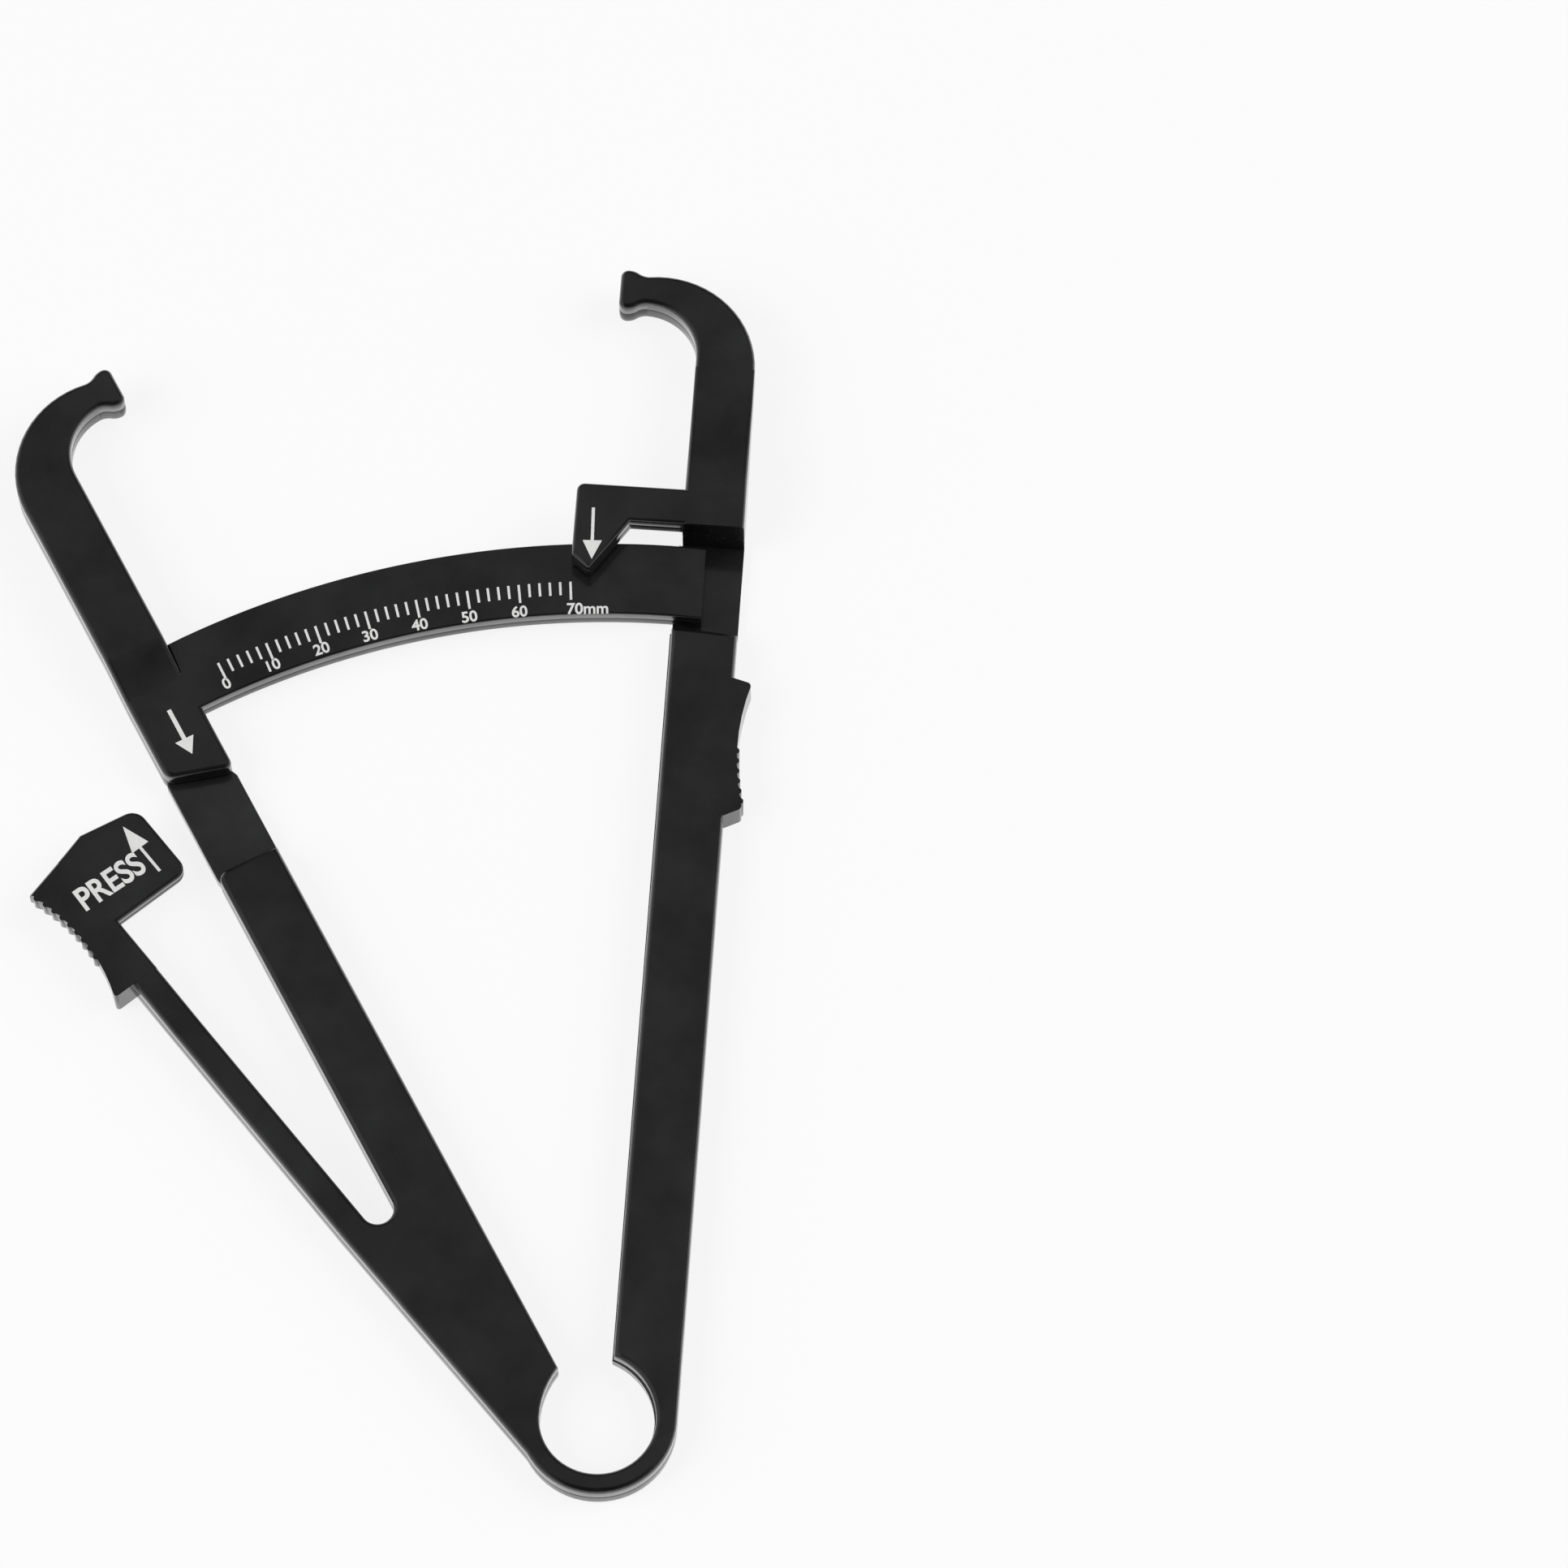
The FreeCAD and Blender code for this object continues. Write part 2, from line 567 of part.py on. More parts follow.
# The flag reaches out over the scale arc and ends in the pointer.
flag, mirrored = section("pointer_flag", "right", "flagBase", "flagThick", [
    ("upperInner", "blockEnd"),
    ("upperInner", "flagLow"),
    ("pointerFlare - pointerAcross", "flagLow"),
    ("pointerFlat / 2 - pointerAcross", "pointerLow"),
    ("0 - pointerFlat / 2 - pointerAcross", "pointerLow"),
    ("0 - flagLip - pointerAcross", "pointerLow + pointerSide"),
    ("0 - flagLip - pointerAcross", "blockEnd")])
roundCorner(flag, mirrored, "flagRound", "0 - flagLip - pointerAcross", "blockEnd")
roundTop(flag, mirrored, "flagThick", "fineRound", seams=[
    (("upperInner", "0"), ("upperInner", "blockEnd"))])
arrow("pointer_arrow", "right", "flagTop", "0 - pointerAcross", "pointerLow + arrowMargin",
      "arrowLong", "headLong", "thinShaft")

# ------------------------------------------------------- the thumb lever
# The beam ends in a round root, which turns in the fork's socket.
beam, mirrored = section("lever_beam", "lever", "0", "barThick", [
    ("beamInner", "leverPivot"),
    ("beamInner", "ledge"),
    ("beamOuter", "ledge"),
    ("beamOuter", "leverPivot")])
pivotSketch = newSketch(beam, "pivot")
addCircle(pivotSketch, "beamMiddle", "leverPivot", "beamHalf", mirrored)
pad(beam, pivotSketch, "barThick")
roundTop(beam, mirrored, "barThick", seams=[
    (("beamInner", "ledge"), ("beamOuter", "ledge"))])

# The tab stands off the table, because it slides over the recess.
tab, mirrored = section("press_paddle", "lever", "tabBase", "tabThick", [
    ("beamInner", "tabLow"),
    ("0 - tabReach", "tabLow"),
    ("0 - tabReach", "tabHigh"),
    ("peakAcross", "peakAlong"),
    ("beamInner", "thumbInner")])
roundCorner(tab, mirrored, "tabRound", "0 - tabReach", "tabLow")
roundCorner(tab, mirrored, "tabRound", "0 - tabReach", "tabHigh")
roundTop(tab, mirrored, "tabThick", "fineRound", seams=[
    (("beamInner", "0"), ("beamInner", "ledge"))])

thumb, mirrored = section("thumb_grip", "lever", "0", "arcTop", [
    ("beamInner", "ledge"),
    ("beamInner", "thumbInner"),
    ("thumbAcross", "thumbHigh", "-thumbRadius"),
    ("thumbAcross", "ledge")])
roundTop(thumb, mirrored, "arcTop", "fineRound", seams=[
    (("beamInner", "0"), ("beamInner", "ledge"))])
cutGrooves(thumb, mirrored, int(size("thumbGrooves")), "thumbAcross", "ledge", "thumbHigh",
           "thumbRadius", True)
arrow("paddle_arrow", "lever", "arcTop", "tabArrowInset - tabReach", "tabHigh - tabArrowDrop",
      "tabArrowLong", "tabHeadLong", "thinShaft", down=False)

# ------------------------------------------------------- check and write
doc.recompute()
failed = [item.Name for item in doc.Objects if {"Invalid", "Error"} & set(item.State)]
if failed:
    raise RuntimeError("these objects failed: " + ", ".join(failed))
bodies = [item for item in doc.Objects if item.TypeId == "PartDesign::Body"]
unsound = [body.Label for body in bodies if body.Shape.isNull() or not body.Shape.isValid()]
if unsound:
    raise RuntimeError("these bodies have no valid shape: " + ", ".join(unsound))
os.makedirs("parts", exist_ok=True)
for body in bodies:
    body.Shape.exportStep("parts/%s.step" % body.Label)
    print("%-18s %2d solids %9.2f mm3" % (body.Label, len(body.Shape.Solids), body.Shape.Volume))
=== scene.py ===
import bmesh
import bpy
import math
from mathutils import Matrix, Vector


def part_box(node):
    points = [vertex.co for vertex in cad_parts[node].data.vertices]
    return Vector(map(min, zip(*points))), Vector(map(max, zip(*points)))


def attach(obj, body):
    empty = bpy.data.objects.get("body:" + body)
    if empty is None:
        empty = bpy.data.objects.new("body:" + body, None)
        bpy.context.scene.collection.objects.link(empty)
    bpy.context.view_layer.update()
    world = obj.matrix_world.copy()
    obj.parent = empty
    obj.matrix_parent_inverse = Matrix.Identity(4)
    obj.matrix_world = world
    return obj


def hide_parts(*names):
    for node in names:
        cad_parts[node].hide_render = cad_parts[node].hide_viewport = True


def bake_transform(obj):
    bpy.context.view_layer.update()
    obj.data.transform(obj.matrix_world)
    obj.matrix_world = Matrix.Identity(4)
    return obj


# A plastic skinfold caliper, lying flat with its print up. Each arm is drawn in a frame of its
# own: "along" runs up the arm from the centre of the ring, "across" away from the other arm.
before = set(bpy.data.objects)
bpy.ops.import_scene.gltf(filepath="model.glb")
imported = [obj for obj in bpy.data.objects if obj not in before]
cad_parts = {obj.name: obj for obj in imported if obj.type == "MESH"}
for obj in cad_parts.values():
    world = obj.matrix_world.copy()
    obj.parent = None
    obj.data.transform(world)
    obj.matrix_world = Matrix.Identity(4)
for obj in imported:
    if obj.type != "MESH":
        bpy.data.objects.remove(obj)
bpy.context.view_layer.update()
mm = 0.001
inkThick = 0.05 * mm

arms = {  # how far each frame leans from +Y in degrees, and the way that "across" runs along x
    "left": {"lean": 27.63, "side": -1},
    "right": {"lean": -3.9, "side": 1},
    "lever": {"lean": 38.8, "side": -1},
    "table": {"lean": 0.0, "side": 1},
}
levels = {  # heights in metres, as the solids have them
    "barTop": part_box("left_arm_lower")[1].z,
    "floorTop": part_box("right_arm_channel")[1].z,
    "arcBase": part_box("scale_arc")[0].z,
    "arcTop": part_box("scale_arc")[1].z,
    "tabBase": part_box("press_paddle")[0].z,
    "recessTop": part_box("left_arm_recess")[1].z,
    "jawBase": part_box("left_jaw_hook")[0].z,
    "jawTop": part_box("left_jaw_hook")[1].z,
    "flagBase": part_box("pointer_flag")[0].z,
    "flagTop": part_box("pointer_flag")[1].z,
}
edges = {  # mm and degrees: the soft edges, and the line where the mould halves met
    "rim": 0.8, "thumbRim": 0.6, "flagRim": 0.6, "fineRim": 0.35, "underRim": 0.65,
    "segments": 5, "cornerSegments": 6, "rimAngle": 50.0, "sharpAngle": 35.0,
    "partingHalf": 0.22, "partingDepth": 0.14, "wallTilt": 0.2,
    "tongue": 1.3, "tongueDip": 0.01,
}
steps = {  # mm and degrees: how finely arcs are drawn, and how near counts as the same place
    "arcTurn": 6.0, "arcLength": 2.5, "join": 0.002, "slack": 0.005, "same": 0.0001,
}
slip = {  # mm: the lower mould half reaches further on the right arm's inner side and in the hole
    "reach": 0.22, "fadeIn": 2.0, "ringRadius": 9.4, "armStart": 8.0, "armAcross": 5.0,
}
bars = {  # mm: widths of the arms and places up them
    "inner": 1.5, "upperInner": {"left": 1.8, "right": 2.05}, "outer": 10.75, "rootEnd": 12.0,
    "upperOuter": {"left": 10.7, "right": 10.5},
    "hole": 7.9, "ring": 10.75, "throat": 8.85, "throatLeft": 12.6, "throatRight": 9.65,
    "bendReach": 5.0,
    "arcInner": 117.8, "arcOuter": 128.6, "arcEndLow": 6.6, "arcEndHigh": 6.35, "flushEnd": 123.8,
    "recessStart": 94.6, "recessLip": 0.2, "stepInner": 107.7, "stepOuter": 110.4,
    "stepRound": 1.5, "floorTongue": 2.0,
    "leftRise": (122.6, 130.0), "rightRise": (135.5, 150.0), "riseCuts": 10, "straightRise": 0.65,
    "channelLow": 116.4, "channelHigh": 130.3, "hookBase": 155.6,
    "beamInner": 7.1, "beamOuter": 11.15, "forkAlong": 42.3, "ledge": 88.84,
    "slotAlong": 40.54, "slotRadius": 2.225,
}


def at(arm, across, along):
    lean, side = arms[arm]["lean"], arms[arm]["side"]
    return Matrix.Rotation(math.radians(lean), 3, "Z") @ Vector((side * across, along, 0)) * mm


def seenFrom(arm, place):
    # the reverse of at(): (across, along) of a point of the table in an arm's frame, in mm
    lean, side = arms[arm]["lean"], arms[arm]["side"]
    local = Matrix.Rotation(-math.radians(lean), 3, "Z") @ Vector((place.x, place.y, 0)) / mm
    return side * local.x, local.y


def onCircle(radius, across):
    return across, math.sqrt(radius ** 2 - across ** 2)


def webOuterAt(along):
    # the web's outer edge runs straight from the ring to the fork that carries the lever
    fork = seenFrom("left", at("lever", bars["beamOuter"], bars["forkAlong"]))
    return bars["ring"] + (fork[0] - bars["ring"]) / fork[1] * along


def stepAt(across):
    # the slanted step of the left arm, as a point of the arm's frame
    inner = bars["upperInner"]["left"]
    slope = (bars["stepOuter"] - bars["stepInner"]) / (bars["outer"] - inner)
    return across, bars["stepInner"] + (across - inner) * slope


def drawOutline(arm, points):
    # points are (across, along), with a radius after them where an arc leads to the next one:
    # it swells to the left of the way there, or to the right with a minus sign
    bm = bmesh.new()
    for i, point in enumerate(points):
        following = points[(i + 1) % len(points)]
        start = at(arm, point[0], point[1])
        end = at(arm, following[0], following[1])
        first = bm.verts.new(start)
        if len(point) == 2:
            bm.edges.new((first, bm.verts.new(end)))
            continue
        swell = math.copysign(1, point[2]) * arms[arm]["side"]
        radius = abs(point[2]) * mm
        chord = end - start
        half = min(1.0, chord.length / 2 / radius)
        left = Vector((-chord.y, chord.x, 0)).normalized()
        centre = (start + end) / 2 - left * swell * radius * math.sqrt(1 - half ** 2)
        turn = 2 * math.asin(half)
        parts = max(1, math.ceil(turn / math.radians(steps["arcTurn"])),
                    math.ceil(radius * turn / (steps["arcLength"] * mm)))
        bmesh.ops.spin(bm, geom=[first], cent=centre, axis=(0, 0, 1), angle=-swell * turn,
                       steps=parts)
    bmesh.ops.remove_doubles(bm, verts=bm.verts[:], dist=steps["join"] * mm)
    bmesh.ops.edgeloop_fill(bm, edges=bm.edges[:])
    return bm


def roundCorners(bm, arm, corners):
    # corners are (across, along, how far the rounding reaches along both sides)
    for across, along, reach in corners:
        place = at(arm, across, along)
        nearest = min(bm.verts, key=lambda vert: (vert.co - place).length)
        bmesh.ops.bevel(bm, geom=[nearest], offset=reach * mm, offset_type="OFFSET",
                        affect="VERTICES", segments=edges["cornerSegments"], profile=0.5,
                        material=-1)


def liesOn(lines, *places):
    # whether one of the lines, seen from above, holds all the places
    slack = steps["slack"] * mm
    for start, end in lines:
        way = (end - start).normalized()
        offsets = [Vector((place.x, place.y, 0)) - start for place in places]
        if all(abs(offset.cross(way).z) < slack
               and -slack < offset.dot(way) < (end - start).length + slack for offset in offsets):
            return True
    return False


def raiseOutline(bm, base, top):
    under = bm.faces[:]
    bmesh.ops.translate(bm, verts=bm.verts[:], vec=(0, 0, base))
    made = bmesh.ops.extrude_face_region(bm, geom=under, use_keep_orig=True)["geom"]
    bmesh.ops.translate(bm, verts=[g for g in made if isinstance(g, bmesh.types.BMVert)],
                        vec=(0, 0, top - base))
    bmesh.ops.recalc_face_normals(bm, faces=bm.faces[:])


def softenRim(bm, level, offset, lines, along):
    # rounds the sharp edges at one level: those along the lines, or all the others
    chosen = [edge for edge in bm.edges
              if all(abs(vert.co.z - level) < steps["same"] * mm for vert in edge.verts)
              and edge.calc_face_angle(0) > math.radians(edges["rimAngle"])
              and liesOn(lines, *(vert.co for vert in edge.verts)) == along]
    if chosen and offset > 0:
        bmesh.ops.bevel(bm, geom=chosen, offset=offset * mm, offset_type="OFFSET",
                        affect="EDGES", segments=edges["segments"], profile=0.5,
                        material=-1, clamp_overlap=True)


def addPartingLine(bm, height, seams):
    # a shallow groove round the walls, except where a neighbour continues
    half = edges["partingHalf"] * mm
    for shift in (-half, 0, half):
        bmesh.ops.bisect_plane(bm, geom=bm.verts[:] + bm.edges[:] + bm.faces[:],
                               plane_co=(0, 0, height + shift), plane_no=(0, 0, 1))
    line = [vert for vert in bm.verts if abs(vert.co.z - height) < steps["same"] * mm]
    pushes = []
    for vert in line:
        walls = [face.normal for face in vert.link_faces
                 if abs(face.normal.z) < edges["wallTilt"]
                 and not liesOn(seams, face.calc_center_median())]
        push = sum(walls, Vector()) if walls else Vector()
        pushes.append(push.normalized() if push.length > 0 else push)
    for vert, push in zip(line, pushes):
        vert.co -= push * edges["partingDepth"] * mm


def plate(arm, points, base, top, rim="rim", underRim="underRim", seams=(), wideRims=(),
          wideRim="rim", corners=(), parting=True):
    # the seams stay sharp, because a neighbour continues there; a rim of None stays sharp too
    bm = drawOutline(arm, points)
    roundCorners(bm, arm, corners)
    raiseOutline(bm, base, top)
    lines = [(at(arm, *start), at(arm, *end)) for start, end in seams]
    wide = [(at(arm, *start), at(arm, *end)) for start, end in wideRims]
    softenRim(bm, top, edges[wideRim], wide, True)
    softenRim(bm, top, edges.get(rim, 0), lines, False)
    softenRim(bm, base, edges[underRim], lines, False)
    if parting:
        addPartingLine(bm, base + (top - base) * 0.5, lines)
    return bm


def slipLowerHalf(bm):
    middle = (levels["barTop"] - edges["partingHalf"] * mm) / 2
    for vert in bm.verts:
        across, along = seenFrom("right", vert.co)
        inHole = math.hypot(across, along) < slip["ringRadius"]
        onArm = along > slip["armStart"] and across < slip["armAcross"]
        if vert.co.z < middle and vert.co.x > 0 and (inHole or onArm):
            vert.co.x -= slip["reach"] * ease(vert.co.x / (slip["fadeIn"] * mm)) * mm


def cutAcross(bm, arm, places):
    lean = math.radians(arms[arm]["lean"])
    way = Vector((-math.sin(lean), math.cos(lean), 0))
    for along in places:
        bmesh.ops.bisect_plane(bm, geom=bm.verts[:] + bm.edges[:] + bm.faces[:],
                               plane_co=at(arm, 0, along), plane_no=way)


def ease(share):
    share = min(1.0, max(0.0, share))
    return share * share * (3 - 2 * share)


def raiseAlong(bm, arm, rise, lifts):
    # lifts the underside and the top, by the two lifts, from where the rise starts to its end
    start, end = rise
    cuts, straight = bars["riseCuts"], bars["straightRise"]
    cutAcross(bm, arm, [start + (end - start) * i / cuts for i in range(cuts + 1)])
    low = min(vert.co.z for vert in bm.verts)
    high = max(vert.co.z for vert in bm.verts)
    for vert in bm.verts:
        share = (seenFrom(arm, vert.co)[1] - start) / (end - start)
        share = (1 - straight) * ease(share) + straight * min(1.0, max(0.0, share))
        tall = (vert.co.z - low) / (high - low)
        vert.co.z += share * (lifts[0] + (lifts[1] - lifts[0]) * tall) * mm


def asPiece(bm, name, body, replaced, finish=None):
    # body is a name, or (body, body, start, end) for a piece that spans two bodies; that tuple's
    # entries are not used, and such a piece is attached to neither body
    bmesh.ops.remove_doubles(bm, verts=bm.verts[:], dist=steps["same"] * mm)
    bmesh.ops.recalc_face_normals(bm, faces=bm.faces[:])
    for face in bm.faces:
        face.smooth = True
    for edge in bm.edges:
        edge.smooth = edge.calc_face_angle(0) < math.radians(edges["sharpAngle"])
    mesh = bpy.data.meshes.new(name)
    bm.to_mesh(mesh)
    bm.free()
    piece = bpy.data.objects.new(name, mesh)
    bpy.context.scene.collection.objects.link(piece)
    mesh.materials.append(finish or plastic)
    shading = piece.modifiers.new("shading", "WEIGHTED_NORMAL")
    shading.keep_sharp = True
    shading.weight = 100
    if isinstance(body, str):
        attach(piece, body)
    else:
        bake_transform(piece)
    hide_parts(*replaced)


class Signal:
    # one socket of a shader; sums of signals make Math nodes
    def __init__(self, tree, socket=None):
        self.tree = tree
        self.socket = socket

    def make(self, kind, settings=None, inputs=None, output=0):
        node = self.tree.nodes.new(kind)
        for name, value in (settings or {}).items():
            setattr(node, name, value)
        for name, value in (inputs or {}).items():
            if isinstance(value, Signal):
                self.tree.links.new(value.socket, node.inputs[name])
            else:
                node.inputs[name].default_value = value
        return Signal(self.tree, node.outputs[output] if node.outputs else None)

    def combine(self, operation, first, second):
        return self.make("ShaderNodeMath", {"operation": operation}, {0: first, 1: second})

    def __add__(self, other):
        return self.combine("ADD", self, other)

    def __sub__(self, other):
        return self.combine("SUBTRACT", self, other)

    def __rsub__(self, other):
        return self.combine("SUBTRACT", other, self)

    def __mul__(self, other):
        return self.combine("MULTIPLY", self, other)

    __radd__ = __add__
    __rmul__ = __mul__


def newMaterial(name):
    material = bpy.data.materials.new(name)
    material.use_nodes = True
    material.node_tree.nodes.clear()
    return material, Signal(material.node_tree)


def closeMaterial(graph, surface):
    graph.make("ShaderNodeOutputMaterial", inputs={"Surface": surface})


def makeNoises(graph, looks):
    # noises of one place on the object, each (size in metres, detail, roughness)
    place = graph.make("ShaderNodeTexCoord", output="Object")
    return [graph.make("ShaderNodeTexNoise", inputs={
        "Vector": place, "Scale": 1 / size, "Detail": detail, "Roughness": roughness})
        for size, detail, roughness in looks]


def makeBump(graph, height):
    return graph.make("ShaderNodeBump", inputs={
        "Strength": 1.0, "Distance": 1.0, "Height": height})


def mixColours(graph, share, first, second):
    return graph.make("ShaderNodeMix", {"data_type": "RGBA"}, {
        "Factor": share, 6: first, 7: second}, output=2)


plasticLook = {
    "dark": 0.001, "light": 0.012, "tint": (0.98, 1.0, 1.03), "cloudShare": 0.7,
    "clouds": (0.011, 4.0, 0.6), "grain": (0.00022, 2.0, 0.7), "waves": (0.0032, 1.0, 0.4),
    "contrast": 2.6, "roughness": 0.27, "cloudRoughness": 0.10, "grainRoughness": 0.12,
    "grainDepth": 0.0000045, "waveDepth": 0.000012,
    "coat": (0.6, 1.0), "coatRoughness": 0.12, "ior": 1.5,
}


def satinPlastic(name, look):
    material, graph = newMaterial(name)
    clouds, grain, waves = makeNoises(graph, (look["clouds"], look["grain"], look["waves"]))
    patches = (clouds - 0.5) * look["contrast"] + 0.5
    shades = [tuple(level * part for part in look["tint"]) + (1.0,)
              for level in (look["dark"], look["light"])]
    share = patches * look["cloudShare"] + grain * (1 - look["cloudShare"])
    coat = graph.make("ShaderNodeMapRange", inputs={
        "Value": patches, "To Min": look["coat"][0], "To Max": look["coat"][1]})
    roughness = ((clouds - 0.5) * look["cloudRoughness"] + (grain - 0.5) * look["grainRoughness"]
                 + look["roughness"])
    height = waves * look["waveDepth"] + grain * look["grainDepth"]
    surface = graph.make("ShaderNodeBsdfPrincipled", inputs={
        "Base Color": mixColours(graph, share, *shades), "Roughness": roughness,
        "Normal": makeBump(graph, height), "IOR": look["ior"],
        "Coat Weight": coat, "Coat Roughness": look["coatRoughness"]})
    closeMaterial(graph, surface)
    return material


inkLook = {
    "dull": (0.74, 0.74, 0.74, 1.0), "clean": (0.90, 0.90, 0.891, 1.0),
    "patches": (0.0016, 5.0, 0.65), "grain": (0.00025, 2.0, 0.5), "contrast": 1.3, "shift": 0.1,
    "roughness": 0.5, "patchRoughness": 0.15, "grainDepth": 0.000006,
}


def printedInk(look):
    material, graph = newMaterial("printedInk")
    patches, grain = makeNoises(graph, (look["patches"], look["grain"]))
    colour = mixColours(graph, patches * look["contrast"] - look["shift"],
                        look["dull"], look["clean"])
    surface = graph.make("ShaderNodeBsdfPrincipled", inputs={
        "Base Color": colour, "Roughness": patches * look["patchRoughness"] + look["roughness"],
        "Normal": makeBump(graph, grain * look["grainDepth"])})
    closeMaterial(graph, surface)
    return material


plastic = satinPlastic("satinPlastic", plasticLook)
# painted light: a lighter copy of the same plastic, which makes the floors of the recess and the
# channel lighter
paintedLightPlastic = satinPlastic("paintedLightPlastic", dict(plasticLook, dark=0.007, light=0.020))
ink = printedInk(inkLook)
print("materials: satin plastic and printed ink")


def makeSpringRing():
    # the open ring with the roots of both arms; the ring flexes where it faces the arms' gap, but
    # this piece stays rigid and is attached to neither arm
    inner, outer, end = bars["inner"], bars["outer"], bars["rootEnd"]
    leftOuter = webOuterAt(end)

    def flat(arm, across, along):
        place = at(arm, across, along) / mm
        return place.x, place.y

    def onRing(radius, degrees):
        angle = math.radians(degrees)
        return radius * math.cos(angle), radius * math.sin(angle)

    holeLeft = flat("left", inner, bars["throat"])
    holeRight = flat("right", inner, bars["throat"])
    seams = [(flat("left", inner, end), flat("left", leftOuter, end)),
             (flat("right", inner, end), flat("right", outer, end))]
    hole, ring = bars["hole"], bars["ring"]
    points = [
        flat("left", inner, end),
        holeLeft + (-bars["throatLeft"],),
        onRing(hole, 180) + (-hole,),
        onRing(hole, 240) + (-hole,),
        onRing(hole, 300) + (-hole,),
        onRing(hole, 0) + (-bars["throatRight"],),
        holeRight,
        flat("right", inner, end),
        flat("right", outer, end),
        flat("right", outer, 0) + (ring,),
        onRing(ring, 270) + (ring,),
        flat("left", ring, 0),
        flat("left", leftOuter, end),
    ]
    bm = plate("table", points, 0, levels["barTop"], seams=seams)
    slipLowerHalf(bm)
    lean = math.radians((arms["left"]["lean"] + arms["right"]["lean"]) / 2)
    way = Vector((math.cos(lean), math.sin(lean), 0)) * bars["bendReach"] * mm
    bends = ("left_arm", "right_arm", -way, way)
    asPiece(bm, "springRing", bends, ["spring_ring"])


def makeLeftWeb():
    inner, outer, end = bars["inner"], bars["outer"], bars["rootEnd"]
    forkInner = seenFrom("left", at("lever", bars["beamInner"], bars["forkAlong"]))
    forkOuter = seenFrom("left", at("lever", bars["beamOuter"], bars["forkAlong"]))
    leftOuter = webOuterAt(end)
    points = [
        (inner, end),
        (inner, bars["recessStart"]),
        (outer, bars["recessStart"]),
        (outer, bars["slotAlong"], -bars["slotRadius"]),
        forkInner,
        forkOuter,
        (leftOuter, end),
    ]
    bm = plate("left", points, 0, levels["barTop"],
               seams=[((inner, end), (leftOuter, end)), (forkInner, forkOuter)],
               corners=[(outer, bars["recessStart"], bars["stepRound"])])
    asPiece(bm, "leftArmWeb", "left_arm", ["left_arm_lower"])


def makeRecessFloor():
    # its ends run on inside the neighbours, whose corners are round
    inner, outer = bars["inner"] - bars["recessLip"], bars["outer"]
    start, tongue = bars["recessStart"], bars["floorTongue"]
    highInner, highOuter = stepAt(inner + tongue / 2), stepAt(outer - tongue / 4)
    points = [
        (inner, start),
        stepAt(inner),
        (highInner[0], highInner[1] + tongue),
        (highOuter[0], highOuter[1] + tongue),
        stepAt(outer),
        (outer, start),
        (outer - tongue / 4, start - tongue),
        (inner + tongue / 2, start - tongue),
    ]
    bm = plate("left", points, 0, levels["recessTop"], rim="fineRim", underRim="fineRim",
               parting=False)
    # the recess floor gets the lighter copy of the plastic, as painted light
    asPiece(bm, "leftRecessFloor", "left_arm", ["left_arm_recess"], finish=paintedLightPlastic)


def makeLeftUpperArm():
    inner, outer, base = bars["upperInner"]["left"], bars["outer"], bars["hookBase"]
    brow, highOuter = bars["inner"], bars["upperOuter"]["left"]
    points = [
        stepAt(brow),
        onCircle(bars["arcInner"], brow),
        (inner, bars["flushEnd"]),
        (inner, base),
        (highOuter, base),
        stepAt(outer),
    ]
    bm = plate("left", points, 0, levels["arcTop"], seams=[((inner, base), (highOuter, base))],
               corners=[stepAt(brow) + (bars["stepRound"],), stepAt(outer) + (bars["stepRound"],)])
    drop = levels["jawBase"] / mm
    lift = (levels["jawTop"] - levels["arcTop"]) / mm
    raiseAlong(bm, "left", bars["leftRise"], (drop, lift))
    asPiece(bm, "leftArmUpper", "left_arm", ["left_arm_upper"])


jaw = {  # mm: the hook's two arcs and the pad that touches the skin
    "hookRadius": 14.0, "throatRadius": 7.85, "throatRise": 1.6, "neck": -5.5, "neckDip": 0.15,
    "face": -9.5, "low": 164.10, "high": 170.15, "padRound": 1.1,
}


def makeJaw(arm, body, hookName, tipName, hookNode, tipNode):
    inner, outer, base = bars["upperInner"][arm], bars["upperOuter"][arm], bars["hookBase"]
    neck, face, low, high, padRound = (jaw[name] for name in
                                       ("neck", "face", "low", "high", "padRound"))
    hookCentre = outer - jaw["hookRadius"]
    throatCentre = inner - jaw["throatRadius"]
    neckTop = base - jaw["neckDip"] + math.sqrt(
        jaw["hookRadius"] ** 2 - (neck - hookCentre) ** 2)
    neckLow = base + jaw["throatRise"] + math.sqrt(
        jaw["throatRadius"] ** 2 - (neck - throatCentre) ** 2)
    neckSeam = ((neck, neckLow), (neck, neckTop))
    hook = plate(arm, [
        (inner, base),
        (outer, base, -jaw["hookRadius"]),
        (neck, neckTop),
        (neck, neckLow, jaw["throatRadius"]),
        (inner, base + jaw["throatRise"]),
    ], levels["jawBase"], levels["jawTop"], seams=[((inner, base), (outer, base)), neckSeam])
    asPiece(hook, hookName, body, [hookNode])

    # each flank is a hollow arc from the neck and a full one of the same radius
    flank = neck - face - padRound
    highFlare, lowFlare = high - neckTop, neckLow - low
    highFlank = (flank ** 2 + highFlare ** 2) / (4 * highFlare)
    lowFlank = (flank ** 2 + lowFlare ** 2) / (4 * lowFlare)
    tip = plate(arm, [
        (neck, neckLow),
        (neck, neckTop, highFlank),
        (neck - flank / 2, (neckTop + high) / 2, -highFlank),
        (face + padRound, high, -padRound),
        (face, high - padRound),
        (face, low + padRound, -padRound),
        (face + padRound, low, -lowFlank),
        (neck - flank / 2, (neckLow + low) / 2, lowFlank),
    ], levels["jawBase"], levels["jawTop"], seams=[neckSeam])
    asPiece(tip, tipName, body, [tipNode])


def inwards(radius, degrees):
    angle = math.radians(degrees)
    return -radius * math.sin(angle), radius * math.cos(angle)


